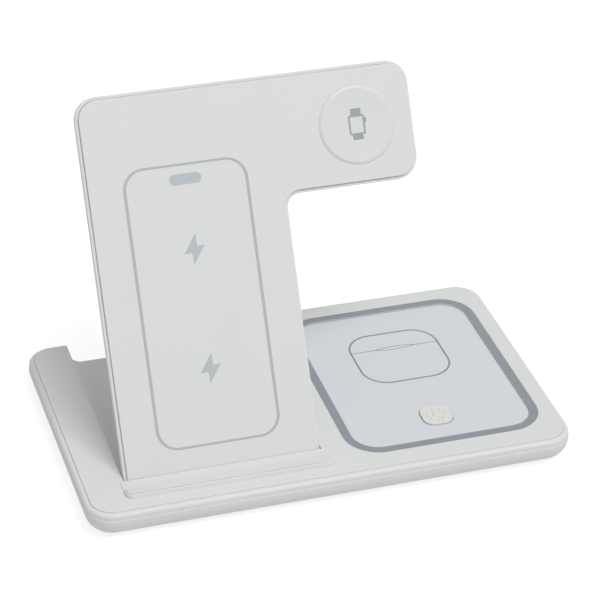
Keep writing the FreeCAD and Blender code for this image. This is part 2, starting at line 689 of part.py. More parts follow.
def make_panel_rear_shell():
    """Round-backed shell with the plate's seat, a cavity, board posts and the hinge bores."""
    shell = prism(panel_face(0, -HALF_THICK, -HALF_THICK), HALF_THICK + SHELL_FRONT)
    foot = -HALF_THICK + 0.001
    back = [e for e in level_edges(shell, -HALF_THICK) if e.BoundBox.YMax > foot]
    shell = shell.makeFillet(EDGE_ROUND, back)
    front = [e for e in level_edges(shell, SHELL_FRONT) if e.BoundBox.YMax > foot]
    shell = shell.makeFillet(PANEL_EDGE_FILLET, front)
    below = PLATE_BOTTOM - PANEL_SEAM
    shell = fused([shell, block(PANEL_LEFT, STEM_RIGHT, -HALF_THICK, below, 0, HALF_THICK)])
    end = rod(PANEL_LEFT, STEM_RIGHT, PANEL_THICK)
    upper = block(PANEL_LEFT, HEAD_RIGHT, 0, PANEL_LENGTH, -HALF_THICK, HALF_THICK)
    shell = shell.common(fused([end, upper]))
    seat = prism(panel_face(PANEL_RIM, below, PLATE_UNDER), CUT)
    inset = PLATE_INSET + PLATE_SEAT
    depth = PLATE_UNDER - PANEL_FLOOR
    cavity = prism(panel_face(inset, HINGE_ZONE, PANEL_FLOOR), depth)
    inner_round = min(EDGE_ROUND - inset, depth - PART_GAP)
    cavity = cavity.makeFillet(inner_round, level_edges(cavity, PANEL_FLOOR))
    posts = [post(x, y, PANEL_FLOOR - PANEL_POST_HEIGHT, PANEL_POST_TOP, BOSS_DIA)
             for x, y in panel_post_places()]
    shell = fused([shell.cut(cavity).cut(seat)] + posts)
    cuts = [rod(PANEL_LEFT - CUT, PANEL_LEFT + SHAFT_IN_PANEL, SHAFT_DIA)]
    cuts.append(rod(PIVOT_TIP, STEM_RIGHT + CUT, BUSH_DIA))
    slot = PIVOT_TIP - WIRE_SLOT_LENGTH
    cuts.append(rod(slot, PIVOT_TIP, WIRE_BORE))
    wire = WIRE_BORE / 2
    cuts.append(block(slot, PIVOT_TIP, 0, HINGE_ZONE + inner_round, -wire, wire))
    cuts += [post(x, y, PANEL_POST_TOP - PANEL_SCREW_LENGTH, PANEL_POST_TOP, SCREW_DIA)
             for x, y in panel_post_places()]
    return shell.cut(cuts)


def panel_board_box():
    """Left, right, low and high edges of the panel board."""
    high = PANEL_LENGTH - PANEL_BOARD_TOP
    return (PANEL_LEFT + PANEL_BOARD_SIDE, STEM_RIGHT - PANEL_BOARD_SIDE, high - PANEL_BOARD_HEIGHT, high)


def panel_post_places():
    """Posts of the panel board."""
    x0, x1, y0, y1 = panel_board_box()
    return [(x, y) for x in (x0 + BOARD_POST_INSET, x1 - BOARD_POST_INSET)
            for y in (y0 + BOARD_POST_INSET, y1 - BOARD_POST_INSET)]


def make_panel_front_plate():
    """Flat front plate with the hole for the watch disc."""
    plate = prism(panel_face(PLATE_INSET, PLATE_BOTTOM, PLATE_UNDER), PLATE_THICK)
    plate = plate.makeFillet(PLATE_FILLET, level_edges(plate, HALF_THICK))
    return plate.cut(post(PUCK_X, PUCK_Y, PLATE_UNDER, HALF_THICK, PUCK_SKIRT_DIA))


def make_watch_puck():
    """Turned disc: dished face, rounded brow and a skirt through the plate."""
    radius = PUCK_DIA / 2
    skirt = PUCK_SKIRT_DIA / 2
    high = HALF_THICK + PUCK_PROUD
    low = PLATE_UNDER - PUCK_SKIRT_DEPTH
    edge = HALF_THICK + PUCK_EDGE
    brow = radius - PUCK_BROW
    middle = V(brow / 2, 0, high - PUCK_DISH * 0.75)
    dish = Part.Arc(V(0, 0, high - PUCK_DISH), middle, V(brow, 0, high)).toShape()
    fall = high - edge
    bow = (PUCK_BROW ** 2 + fall ** 2) / (2 * fall)
    turn = math.atan(fall / PUCK_BROW)
    bend = V(brow + bow * math.sin(turn), 0, high - bow * (1 - math.cos(turn)))
    rounded = Part.Arc(V(brow, 0, high), bend, V(radius, 0, edge)).toShape()
    inner = skirt - PUCK_SKIRT_WALL
    points = [(radius, edge), (radius, HALF_THICK), (skirt, HALF_THICK), (skirt, low)]
    points += [(inner, low), (inner, PUCK_UNDER), (0, PUCK_UNDER), (0, high - PUCK_DISH)]
    rest = Part.makePolygon([V(x, 0, z) for x, z in points])
    face = Part.Face(Part.Wire([dish, rounded] + rest.Edges))
    puck = face.revolve(V(0, 0, 0), V(0, 0, 1), 360)
    puck.translate(V(PUCK_X, PUCK_Y, 0))
    return puck


def watch_coil_dia():
    """Largest coil that slips into the skirt."""
    return PUCK_SKIRT_DIA - 2 * PUCK_SKIRT_WALL - 2 * PART_GAP


def make_watch_coil():
    """Flat coil behind the disc's face."""
    return disc(PUCK_X, PUCK_Y, PUCK_UNDER - COIL_THICK, PUCK_UNDER, watch_coil_dia(), WATCH_COIL_HOLE)


def make_watch_ferrite():
    """Ferrite ring behind the watch coil."""
    high = PUCK_UNDER - COIL_THICK
    return disc(PUCK_X, PUCK_Y, high - FERRITE_THICK, high, watch_coil_dia(), WATCH_COIL_HOLE)


def make_watch_magnet():
    """Centring magnet in the coil's hole."""
    return post(PUCK_X, PUCK_Y, PUCK_UNDER - WATCH_MAGNET_THICK, PUCK_UNDER, WATCH_MAGNET_DIA)


def make_phone_coil(up):
    """Flat phone coil behind the front plate."""
    return disc(STEM_MIDDLE, up, PLATE_UNDER - COIL_THICK, PLATE_UNDER, COIL_DIA, COIL_HOLE)


def make_phone_ferrite():
    """Ferrite plate behind both phone coils."""
    half = COIL_DIA / 2 + FERRITE_MARGIN
    high = PLATE_UNDER - COIL_THICK
    return block(STEM_MIDDLE - half, STEM_MIDDLE + half, LOWER_COIL_UP - half, UPPER_COIL_UP + half,
                 high - FERRITE_THICK, high)


def make_panel_board():
    """Panel board on its posts, with two chips."""
    x0, x1, y0, y1 = panel_board_box()
    board = block(x0, x1, y0, y1, PANEL_POST_TOP, PANEL_BOARD_FACE)
    y = (y0 + y1 - CHIP_SIZE) / 2
    chips = [block(x, x + CHIP_SIZE, y, y + CHIP_SIZE, PANEL_BOARD_FACE, PANEL_BOARD_FACE + CHIP_HEIGHT)
             for x in (STEM_MIDDLE - 1.5 * CHIP_SIZE, STEM_MIDDLE + 0.5 * CHIP_SIZE)]
    board = fused([board] + chips)
    holes = [post(x, y, PANEL_POST_TOP, PANEL_BOARD_FACE, SCREW_DIA + SCREW_CLEAR)
             for x, y in panel_post_places()]
    return board.cut(holes)


def make_hinge_shaft():
    """Hinge shaft pressed into the panel's foot, with a collar inside the bracket's ear."""
    collar = tube(EAR_RIGHT + SIDE_CLEARANCE, WALL_LEFT - SIDE_CLEARANCE, SHAFT_COLLAR_DIA, SHAFT_DIA)
    return fused([rod(SHAFT_END, PANEL_LEFT + SHAFT_IN_PANEL, SHAFT_DIA), collar])


def make_friction_washers():
    """Stack of spring washers between the ear and the nut."""
    bore = SHAFT_DIA + 2 * WASHER_BORE_GAP
    return Part.makeCompound([tube(STACK_LEFT + i * WASHER_THICK, STACK_LEFT + (i + 1) * WASHER_THICK,
                                   WASHER_DIA, bore) for i in range(WASHER_COUNT)])


def make_hinge_nut():
    """Hexagon nut that loads the washers."""
    radius = NUT_ACROSS / 2 / math.cos(math.pi / 6)
    turns = [math.radians(60 * i) for i in range(7)]
    wire = Part.makePolygon([V(SHAFT_END, radius * math.cos(a), radius * math.sin(a)) for a in turns])
    nut = Part.Face(wire).extrude(V(NUT_THICK, 0, 0))
    return nut.cut(rod(SHAFT_END, STACK_LEFT, SHAFT_DIA))


def make_hinge_bush():
    """Plain bush in the panel's foot, turning on the hollow pivot."""
    return tube(PIVOT_TIP, STEM_RIGHT - BUSH_INSET, BUSH_DIA, PIVOT_DIA + 2 * RUN_CLEARANCE)


FIXED = {
    "base_lower_shell": make_base_lower_shell,
    "base_top_cover": make_base_top_cover,
    "phone_rest": make_phone_rest,
    "light_ring": make_light_ring,
    "earbud_pad": make_earbud_pad,
    "earbud_coil": make_earbud_coil,
    "earbud_ferrite": make_earbud_ferrite,
    "light_board": make_light_board,
    "light_leds": make_light_leds,
    "main_board": make_main_board,
    "key_switch": make_key_switch,
    "key_cap": make_key_cap,
    "key_plunger": make_key_plunger,
    "usb_c_socket": make_usb_c_socket,
    "hinge_bracket": make_hinge_bracket,
    "hinge_pivot": make_hinge_pivot,
    "rubber_feet": make_rubber_feet,
    "base_screws": make_base_screws,
    "board_screws": lambda: screws(board_places(), BOARD_TOP, BOARD_THICK + BOARD_SCREW_LENGTH),
    "bracket_screws": lambda: screws(bracket_places(), BRACKET_FOOT_TOP,
                                     BRACKET_FOOT_THICK + BRACKET_SCREW_LENGTH),
}

FOLDING = {
    "panel_rear_shell": make_panel_rear_shell,
    "panel_front_plate": make_panel_front_plate,
    "watch_puck": make_watch_puck,
    "watch_coil": make_watch_coil,
    "watch_ferrite": make_watch_ferrite,
    "watch_magnet": make_watch_magnet,
    "lower_phone_coil": lambda: make_phone_coil(LOWER_COIL_UP),
    "upper_phone_coil": lambda: make_phone_coil(UPPER_COIL_UP),
    "phone_ferrite": make_phone_ferrite,
    "panel_board": make_panel_board,
    "panel_board_screws": lambda: screws(panel_post_places(), PANEL_BOARD_FACE,
                                         PANEL_BOARD_THICK + PANEL_SCREW_LENGTH),
    "hinge_shaft": make_hinge_shaft,
    "friction_washers": make_friction_washers,
    "hinge_nut": make_hinge_nut,
    "hinge_bush": make_hinge_bush,
}


def main():
    """Build every piece and write one file for each."""
    os.makedirs("parts", exist_ok=True)
    for name, make in FIXED.items():
        make().exportStep(f"parts/{name}.step")
    for name, make in FOLDING.items():
        leaning(make()).exportStep(f"parts/{name}.step")


main()
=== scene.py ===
"""Looks of a folding three-in-one charging stand: finishes, printed marks, key dots, screws and stage."""

import json
import math

import bmesh
import bpy
import numpy as np
from bpy.props import FloatProperty, FloatVectorProperty, IntProperty, PointerProperty
from mathutils import Matrix, Vector


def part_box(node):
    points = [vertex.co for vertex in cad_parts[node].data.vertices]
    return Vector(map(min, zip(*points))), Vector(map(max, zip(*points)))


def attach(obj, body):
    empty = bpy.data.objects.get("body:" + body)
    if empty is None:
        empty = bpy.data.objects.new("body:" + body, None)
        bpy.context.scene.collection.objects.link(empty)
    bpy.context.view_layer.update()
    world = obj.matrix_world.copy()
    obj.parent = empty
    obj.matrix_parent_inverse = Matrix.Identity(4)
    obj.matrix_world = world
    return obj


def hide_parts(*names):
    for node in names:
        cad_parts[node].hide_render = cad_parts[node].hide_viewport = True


bl_info = {
    "name": "Charging Stand Looks",
    "version": (1, 0, 0),
    "blender": (4, 5, 0),
    "location": "View3D > Sidebar > Stand",
    "description": "Finishes, printed marks, key dots, screws and stage of a folding charging stand",
    "category": "Object",
}

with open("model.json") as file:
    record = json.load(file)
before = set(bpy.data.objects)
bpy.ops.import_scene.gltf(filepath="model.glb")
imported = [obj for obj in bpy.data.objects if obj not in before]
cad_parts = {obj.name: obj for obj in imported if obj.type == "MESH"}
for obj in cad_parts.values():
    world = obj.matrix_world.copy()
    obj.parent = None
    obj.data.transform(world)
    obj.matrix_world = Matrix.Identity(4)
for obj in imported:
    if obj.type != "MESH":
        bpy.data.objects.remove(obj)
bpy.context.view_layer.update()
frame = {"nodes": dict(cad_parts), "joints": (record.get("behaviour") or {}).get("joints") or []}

# Frame of the leaning panel: hinge axis, open angle and half thickness
FOLD = next(joint for joint in frame["joints"] if joint["name"] == "panel_fold")
HINGE = np.array(FOLD["pos_m"])
LEAN = math.radians(-FOLD["range_deg"][0])
UP_PANEL = np.array([0.0, math.cos(LEAN), math.sin(LEAN)])
OFF_PANEL = np.array([0.0, -math.sin(LEAN), math.cos(LEAN)])
HALF_PANEL = 0.004

# Watch disc: centre on the panel, proud height, dish depth and dish radius
DISC_CENTRE = np.array([0.0275, 0.1152])
DISC_PROUD = 0.0006
DISC_DISH = 0.0003
DISC_DISH_RADIUS = 0.013

# Flat tops that carry marks
PAD_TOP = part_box("earbud_pad")[1][2]
KEY_LOW, KEY_HIGH = (np.array(corner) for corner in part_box("key_cap"))
KEY_CENTRE = (KEY_LOW + KEY_HIGH)[:2] / 2

# Base screws: box of all six and head radius
SCREWS_LOW, SCREWS_HIGH = (np.array(corner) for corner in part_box("base_screws"))
SCREW_HEAD = 0.0018

# Shares of the head's radius: shank, head height, edge bevel, and the cross recess
SCREW_SHANK = 0.555
SCREW_SEAT = 0.555
SCREW_EDGE = 0.14
CROSS_LENGTH = 0.62
CROSS_WIDTH = 0.17
CROSS_DEPTH = 0.4

# Shares of the shank's radius: end face and length of the taper. Share of the cross left at its bottom
TIP_RADIUS = 0.6
TIP_LENGTH = 0.4
CROSS_DRAFT = 0.85

# Ink thickness: how far a printed mark stands off its surface and how far it is let in
INK_PROUD = 0.00003
INK_SUNK = 0.00004

# Points of a quarter arc, share of a bar's half height that its round ends take, and the key's dots
ARC_STEPS = 20
ROUND_END = 0.999
DOT_STEPS = 14
DOT_RINGS = 5
DOT_FOOT = 0.25

# Lightning bolt: corners in shares of its height about its middle
BOLT_CORNERS = np.array([[0.08, 0.5], [-0.35, -0.12], [-0.09, -0.11],
                         [-0.08, -0.5], [0.345, 0.1], [0.1, 0.095]])

# Watch mark in shares of its line: corners and crown length. Crown's height in shares of half the frame
FRAME_CORNER = 0.6
STRAP_CORNER = 0.4
CROWN_LENGTH = 2.8
CROWN_UP = 0.45

# Plastic: depth and detail of the fine relief, and scale of the broad clouding
GRAIN_DEPTH = 0.0002
GRAIN_DETAIL = 2.0
CLOUD_SCALE = 40.0

# Milky ring: upward share of the normal up to which walls take their paler painted-light colour, which
# lifts their shade, and from which the top takes its own colour; and how deep light wanders
PAINTED_WALL_UP = 0.3
TOP_UP = 0.8
MILK_DEPTH = 0.001

# Metal: half the spread of its roughness
GLOSS_SPREAD = 0.06

# Roughness of the outer finishes, and relief where it is finer than the shell's
SHELL_ROUGH = 0.58
FACE_ROUGH = 0.5
FACE_RELIEF = 0.08
DISC_ROUGH = 0.4
DISC_RELIEF = 0.05
PAD_ROUGH = 0.36
PAD_RELIEF = 0.04
RING_ROUGH = 0.32
KEY_ROUGH = 0.38
PRINT_ROUGH = 0.45
PRINT_RELIEF = 0.01
RUBBER_ROUGH = 0.8
RUBBER_RELIEF = 0.1
STEEL_ROUGH = 0.35

# Stage: half width and shades of the floor, lamps, and camera back
FLOOR_HALF = 4.0
FLOOR_SHADE = 0.32
FLOOR_BOUNCE = 0.8
LAMP_AIM = (0.0, 0.0, 0.05)
LAMP_SIZE = 2.7
KEY_LAMP = (0.9, -2.4, 4.55)
BACK_LAMP = (1.8, 0.3, 4.7)
SENSOR_WIDTH = 36.0
NEAREST_SEEN = 0.01


def srgb(red, green, blue):
    """Scene-linear colour from 8-bit display values, by the standard transfer curve."""
    share = np.array([red, green, blue]) / 255.0
    linear = np.where(share <= 0.04045, share / 12.92, ((share + 0.055) / 1.055) ** 2.4)
    return tuple(float(value) for value in linear) + (1.0,)


def colour_value(name, description, display):
    """Colour property with its default given as display values."""
    return FloatVectorProperty(name=name, description=description, subtype="COLOR", size=4,
                               min=0.0, max=1.0, default=srgb(*display))


def length_value(name, description, default):
    """Length property in metres."""
    return FloatProperty(name=name, description=description, default=default, unit="LENGTH", precision=5)


class StandColours(bpy.types.PropertyGroup):
    """Colours of the stand's finishes."""

    shell: colour_value("Shell", "Satin moulded shell, cover and phone rest", (218, 220, 219))
    face: colour_value("Face", "Front plate of the leaning panel", (215, 217, 216))
    disc: colour_value("Disc", "Watch disc", (214, 216, 215))
    pad: colour_value("Pad", "Pale plate inside the light ring", (211, 214, 219))
    ring: colour_value("Ring", "Milky light ring, unlit", (141, 149, 156))
    # Painted light: a paler colour on the ring's side walls that lifts their shade; the top keeps the
    # ring's colour
    ring_wall_painted_light: colour_value("Ring wall", "Paler cut wall of the light ring", (192, 199, 204))
    key: colour_value("Key", "Key and its dots", (220, 220, 217))
    print_line: colour_value("Line print", "Neutral grey ink of the phone outline", (178, 180, 180))
    print_grey: colour_value("Print", "Cool grey ink of the slot and the bolts", (179, 187, 190))
    print_watch: colour_value("Watch print", "Grey ink of the watch's mark", (156, 159, 160))
    print_dark: colour_value("Case print", "Darker ink of the earbud case's mark", (132, 136, 142))
    rubber: colour_value("Rubber", "Round feet", (150, 150, 150))


class StandMarks(bpy.types.PropertyGroup):
    """Sizes and places of the printed marks, the key's dots and the middle screws."""

    phone_line: length_value("Phone line", "Width of the outline's left and right lines", 0.00115)
    phone_cross: length_value("Phone cross line", "Width of the outline's upper and lower lines", 0.00085)
    phone_left: length_value("Phone left", "Middle of the outline's left line", -0.05954)
    phone_right: length_value("Phone right", "Middle of the outline's right line", -0.0153)
    phone_low: length_value("Phone low", "Middle of the lower line, up the panel from the hinge", 0.01055)
    phone_high: length_value("Phone high", "Middle of the upper line, up the panel from the hinge", 0.10943)
    phone_corner: length_value("Phone corner", "Corner radius of the outline", 0.00732)
    slot_length: length_value("Slot length", "Length of the sound slot's mark", 0.0116)
    slot_height: length_value("Slot height", "Height of the sound slot's mark", 0.0038)
    slot_up: length_value("Slot up", "Middle of the sound slot's mark, up the panel", 0.10426)
    bolt_height: length_value("Bolt height", "Height of a lightning bolt", 0.011)
    bolt_low: length_value("Lower bolt", "Middle of the lower bolt, up the panel", 0.0370)
    bolt_high: length_value("Upper bolt", "Middle of the upper bolt, up the panel", 0.0794)
    watch_line: length_value("Watch line", "Width of the watch frame's line", 0.00065)
    watch_across: length_value("Watch across", "Middle of the watch's mark, left to right", 0.02733)
    watch_up: length_value("Watch up", "Middle of the watch's frame, up the panel", 0.1151)
    watch_width: length_value("Watch width", "Outer width of the watch's frame", 0.006)
    watch_height: length_value("Watch height", "Outer height of the watch's frame", 0.0071)
    strap_width: length_value("Strap width", "Width of the watch's strap", 0.0039)
    strap_upper: length_value("Upper strap", "Length of the upper strap", 0.0023)
    strap_lower: length_value("Lower strap", "Length of the lower strap", 0.0018)
    case_line: length_value("Case line", "Width of the earbud case's line", 0.0007)
    case_width: length_value("Case width", "Width of the earbud case's mark", 0.0344)
    case_depth: length_value("Case depth", "Depth of the earbud case's mark", 0.0319)
    case_corner: length_value("Case corner", "Corner radius of the earbud case's mark", 0.0097)
    case_across: length_value("Case across", "Middle of the earbud case's mark, left to right", 0.04535)
    case_back: length_value("Case back", "Middle of the earbud case's mark, front to back", 0.01323)
    lid_line: length_value("Lid line", "Width of the lid's and the hinge's line", 0.0003)
    lid_back: length_value("Lid back", "Place of the lid's line, front to back", 0.01905)
    hinge_length: length_value("Hinge length", "Length of the lens-shaped hinge on the lid's line", 0.0158)
    hinge_depth: length_value("Hinge depth", "Depth of the lens-shaped hinge on the lid's line", 0.0019)
    screw_middle: length_value("Middle screws", "Place of the two screws beside the channel, left to right",
                               0.00445)
    dot_size: length_value("Dot size", "Width of a raised dot on the key", 0.0015)
    dot_height: length_value("Dot height", "Height of a raised dot on the key", 0.0004)
    dot_ring: length_value("Dot ring", "Radius of the ring of dots on the key", 0.0032)
    dot_count: IntProperty(name="Dots", description="Dots in the ring on the key", default=8, min=3)


class StandStage(bpy.types.PropertyGroup):
    """Camera and light of the studio stage."""

    azimuth: FloatProperty(name="Azimuth", description="Camera's turn about the stand", subtype="ANGLE",
                           default=math.radians(-17.984))
    elevation: FloatProperty(name="Elevation", description="Camera's height angle", subtype="ANGLE",
                             default=math.radians(32.628))
    roll: FloatProperty(name="Roll", description="Camera's tilt about its own line", subtype="ANGLE",
                        default=math.radians(1.372))
    distance: length_value("Distance", "Camera's distance from its target", 0.9221)
    lens: FloatProperty(name="Lens", description="Focal length on a 36 mm sensor", default=153.67,
                        unit="CAMERA")
    target: FloatVectorProperty(name="Target", description="Point in the middle of the picture", size=3,
                                subtype="TRANSLATION", default=(0.001178, 0.0, 0.052216))
    sky: FloatProperty(name="Sky", description="Strength of the even light from all round", default=0.439)
    key_power: FloatProperty(name="Key power", description="Power of the large lamp above the front",
                             default=155.0, unit="POWER")
    back_power: FloatProperty(name="Back power", description="Power of the weak lamp above the right",
                              default=12.0, unit="POWER")
    floor_glow: FloatProperty(name="Floor glow", description="White that the floor shows by itself",
                              default=0.8)


def new_material(name):
    """Empty material with its principled shader."""
    material = bpy.data.materials.new(name)
    material.use_nodes = True
    return material, material.node_tree, material.node_tree.nodes["Principled BSDF"]


def moulded_plastic(name, colour, roughness, grain=2600.0, relief=0.14, clouding=0.012):
    """Satin plastic: a fine noise lifts the surface a little and a broad one shades the colour slightly."""
    material, tree, shader = new_material(name)
    shader.inputs["Roughness"].default_value = roughness
    place = tree.nodes.new("ShaderNodeTexCoord")
    fine = tree.nodes.new("ShaderNodeTexNoise")
    fine.inputs["Scale"].default_value = grain
    fine.inputs["Detail"].default_value = GRAIN_DETAIL
    bump = tree.nodes.new("ShaderNodeBump")
    bump.inputs["Strength"].default_value = relief
    bump.inputs["Distance"].default_value = GRAIN_DEPTH
    broad = tree.nodes.new("ShaderNodeTexNoise")
    broad.inputs["Scale"].default_value = CLOUD_SCALE
    ramp = tree.nodes.new("ShaderNodeValToRGB")
    dark, light = ramp.color_ramp.elements
    dark.color = tuple(value * (1 - clouding) for value in colour[:3]) + (1.0,)
    light.color = tuple(min(1.0, value * (1 + clouding)) for value in colour[:3]) + (1.0,)
    tree.links.new(place.outputs["Object"], fine.inputs["Vector"])
    tree.links.new(place.outputs["Object"], broad.inputs["Vector"])
    tree.links.new(fine.outputs["Fac"], bump.inputs["Height"])
    tree.links.new(bump.outputs["Normal"], shader.inputs["Normal"])
    tree.links.new(broad.outputs["Fac"], ramp.inputs["Fac"])
    tree.links.new(ramp.outputs["Color"], shader.inputs["Base Color"])
    return material


def milky_cast_painted_walls(name, colour, wall, roughness, depth):
    """Milky cast: light wanders under the skin by a depth, and the side walls get a paler colour than the
    flat top, painted light that lifts their shade.
    """
    material, tree, shader = new_material(name)
    shader.inputs["Roughness"].default_value = roughness
    shader.inputs["Subsurface Weight"].default_value = 1.0
    shader.inputs["Subsurface Radius"].default_value = (1.0, 1.0, 1.0)
    shader.inputs["Subsurface Scale"].default_value = depth
    way = tree.nodes.new("ShaderNodeNewGeometry")
    parts = tree.nodes.new("ShaderNodeSeparateXYZ")
    ramp = tree.nodes.new("ShaderNodeValToRGB")
    # Painted light: by the upward share of the normal, walls take the paler colour that lifts their shade
    # and the top its own colour
    side, top = ramp.color_ramp.elements
    side.position = PAINTED_WALL_UP
    side.color = wall
    top.position = TOP_UP
    top.color = colour
    tree.links.new(way.outputs["Normal"], parts.inputs["Vector"])
    tree.links.new(parts.outputs["Z"], ramp.inputs["Fac"])
    tree.links.new(ramp.outputs["Color"], shader.inputs["Base Color"])
    return material


def plain_metal(name, colour, roughness, grain=900.0):
    """Metal with a fine scratch-like noise in its gloss."""
    material, tree, shader = new_material(name)
    shader.inputs["Base Color"].default_value = colour
    shader.inputs["Metallic"].default_value = 1.0
    place = tree.nodes.new("ShaderNodeTexCoord")
    noise = tree.nodes.new("ShaderNodeTexNoise")
    noise.inputs["Scale"].default_value = grain
    spread = tree.nodes.new("ShaderNodeMapRange")
    spread.inputs["To Min"].default_value = roughness - GLOSS_SPREAD
    spread.inputs["To Max"].default_value = roughness + GLOSS_SPREAD
    tree.links.new(place.outputs["Object"], noise.inputs["Vector"])
    tree.links.new(noise.outputs["Fac"], spread.inputs["Value"])
    tree.links.new(spread.outputs["Result"], shader.inputs["Roughness"])
    return material


def plated_steel():
    """Zinc plated steel of the screws and hinge pieces, made once."""
    name = "Zinc plated steel"
    return bpy.data.materials.get(name) or plain_metal(name, srgb(188, 188, 190), STEEL_ROUGH)


def dress(material, *nodes):
    """Gives a material to CAD nodes."""
    for name in nodes:
        materials = frame["nodes"][name].data.materials
        materials.clear()
        materials.append(material)


def on_panel(points, lift):
    """Points (x, up the panel) set on the panel's face at a lift: hinge + up * v + off * (half + lift)."""
    across = points[..., 0:1] * np.array([1.0, 0.0, 0.0])
    return HINGE + across + points[..., 1:2] * UP_PANEL + (HALF_PANEL + lift) * OFF_PANEL


def on_disc(points, lift):
    """Points on the watch disc's dish: the face's height less dish * (1 - (r / radius) squared)."""
    away = ((points - DISC_CENTRE) ** 2).sum(axis=-1, keepdims=True) / DISC_DISH_RADIUS ** 2
    return on_panel(points, DISC_PROUD + lift - DISC_DISH * (1.0 - away))


def on_pad(points, lift):
    """Points on the flat top of the earbud pad."""
    height = np.full(points.shape[:-1] + (1,), PAD_TOP + lift)
    return np.concatenate([points, height], axis=-1)


def rounded_loop(left, right, low, high, radius):
    """Closed path of a rounded rectangle: four quarter arcs about the inset corners."""
    turn = np.linspace(0.0, math.pi / 2, ARC_STEPS)
    start = np.array([math.pi, 1.5 * math.pi, 0.0, 0.5 * math.pi])[:, None] + turn
    middle_x = np.array([left + radius, right - radius, right - radius, left + radius])[:, None]
    middle_y = np.array([low + radius, low + radius, high - radius, high - radius])[:, None]
    path = np.stack([middle_x + radius * np.cos(start), middle_y + radius * np.sin(start)], axis=-1)
    return path.reshape(-1, 2)


def offset_loop(path, distance):
    """Closed path moved sideways: each point goes out along the bisector of its two edges' normals.

    The distance is one number, or one for each axis.
    """
    after = np.roll(path, -1, axis=0) - path
    after /= np.linalg.norm(after, axis=1, keepdims=True)
    before = np.roll(after, 1, axis=0)
    bisector = after + before
    bisector /= np.linalg.norm(bisector, axis=1, keepdims=True)
    stretch = 1.0 / (bisector * after).sum(axis=1, keepdims=True)
    normal = np.stack([bisector[:, 1], -bisector[:, 0]], axis=1)
    return path + normal * distance * stretch


def build(name, vertices, faces, material, body, slot):
    """Closed mesh piece with outward faces, riding on a body."""
    mesh = bpy.data.meshes.new(name)
    mesh.from_pydata(vertices.reshape(-1, 3), [], faces)
    shape = bmesh.new()
    shape.from_mesh(mesh)
    bmesh.ops.recalc_face_normals(shape, faces=shape.faces)
    shape.to_mesh(mesh)
    shape.free()
    mesh.materials.append(material)
    piece = bpy.data.objects.new(name, mesh)
    bpy.context.scene.collection.objects.link(piece)
    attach(piece, body)
    return piece


def tube_faces(loops, points):
    """Quads of a grid of loops by points, closed in both directions."""
    row, column = np.meshgrid(np.arange(loops), np.arange(points), indexing="ij")
    next_row = (row + 1) % loops
    next_column = (column + 1) % points
    quads = np.stack([row * points + column, next_row * points + column,
                      next_row * points + next_column, row * points + next_column], axis=-1)
    return quads.reshape(-1, 4).tolist()


def capped_faces(loops, points):
    """Quads of an open stack of loops, and a fan at each end to two tips that follow the last loop."""
    column = np.arange(points)
    beside = (column + 1) % points
    last = (loops - 1) * points
    tip = np.full(points, loops * points)
    faces = tube_faces(loops, points)[:last]
    faces += np.stack([tip, beside, column], axis=1).tolist()
    faces += np.stack([tip + 1, last + column, last + beside], axis=1).tolist()
    return faces


def line_ribbon(path, width, place):
    """Ribbon along a closed path: inner and outer edge, low and high, as four loops round the section.

    The width is one number, or one for lines that run up and one for lines that run across.
    """
    inner = offset_loop(path, -width / 2)
    outer = offset_loop(path, width / 2)
    loops = [place(inner, -INK_SUNK), place(outer, -INK_SUNK),
             place(outer, INK_PROUD), place(inner, INK_PROUD)]
    return np.stack(loops), tube_faces(len(loops), len(path))


def filled_patch(path, place, rings=4):
    """Star-shaped patch: rings shrink from outline to middle, below and above, joined at the edge."""
    middle = path.mean(axis=0)
    share = np.linspace(0.0, 1.0, rings + 1)[1:, None, None]
    spread = middle + share * (path - middle)
    low = place(spread, -INK_SUNK)
    high = place(spread, INK_PROUD)[::-1]
    grid = np.concatenate([low, high])
    tips = np.stack([place(middle, -INK_SUNK), place(middle, INK_PROUD)])
    return np.concatenate([grid.reshape(-1, 3), tips]), capped_faces(2 * rings, len(path))


def joined(shapes):
    """One vertex list and one face list from several shapes."""
    vertices = []
    faces = []
    count = 0
    for points, polygons in shapes:
        flat = points.reshape(-1, 3)
        faces += [[index + count for index in polygon] for polygon in polygons]
        vertices.append(flat)
        count += len(flat)
    return np.concatenate(vertices), faces


def capsule(centre, length, height):
    """Closed path of a bar with round ends."""
    x, y = centre
    return rounded_loop(x - length / 2, x + length / 2, y - height / 2, y + height / 2,
                        min(length, height) / 2 * ROUND_END)


def lens_loop(centre, length, depth):
    """Closed path of a slender lens: two parabolas y = +-depth / 2 * (1 - u squared) over its length."""
    u = np.linspace(-1.0, 1.0, 2 * ARC_STEPS)
    bow = depth / 2 * (1.0 - u ** 2)
    low = np.stack([u * length / 2, -bow], axis=1)
    high = np.stack([u[::-1] * length / 2, bow[::-1]], axis=1)
    return np.array(centre) + np.concatenate([low, high[1:-1]])


def bolt_outline(centre, height):
    """Zigzag outline of a lightning bolt: its middle plus its height times the corners' shares."""
    return np.array(centre) + height * BOLT_CORNERS


def dome_dots(centres, radius, height, base):
    """Raised dots: radius * sin(angle) out and height * cos(angle) up, closed by a shallow cone let in."""
    angle = np.linspace(0.0, math.pi / 2, DOT_RINGS + 1)[1:]
    turn = np.linspace(0.0, 2 * math.pi, DOT_STEPS, endpoint=False)
    ring_x = radius * np.sin(angle)[:, None] * np.cos(turn)
    ring_y = radius * np.sin(angle)[:, None] * np.sin(turn)
    ring_z = np.broadcast_to((height * np.cos(angle))[:, None], ring_x.shape)
    dome = np.stack([ring_x, ring_y, ring_z], axis=-1).reshape(-1, 3)
    top_and_foot = np.array([[0.0, 0.0, height], [0.0, 0.0, -height * DOT_FOOT]])
    shape = np.concatenate([dome, top_and_foot])
    seats = np.concatenate([centres, np.full((len(centres), 1), base)], axis=1)
    vertices = seats[:, None, :] + shape
    faces = capped_faces(DOT_RINGS, DOT_STEPS)
    return joined([(dot, faces) for dot in vertices])


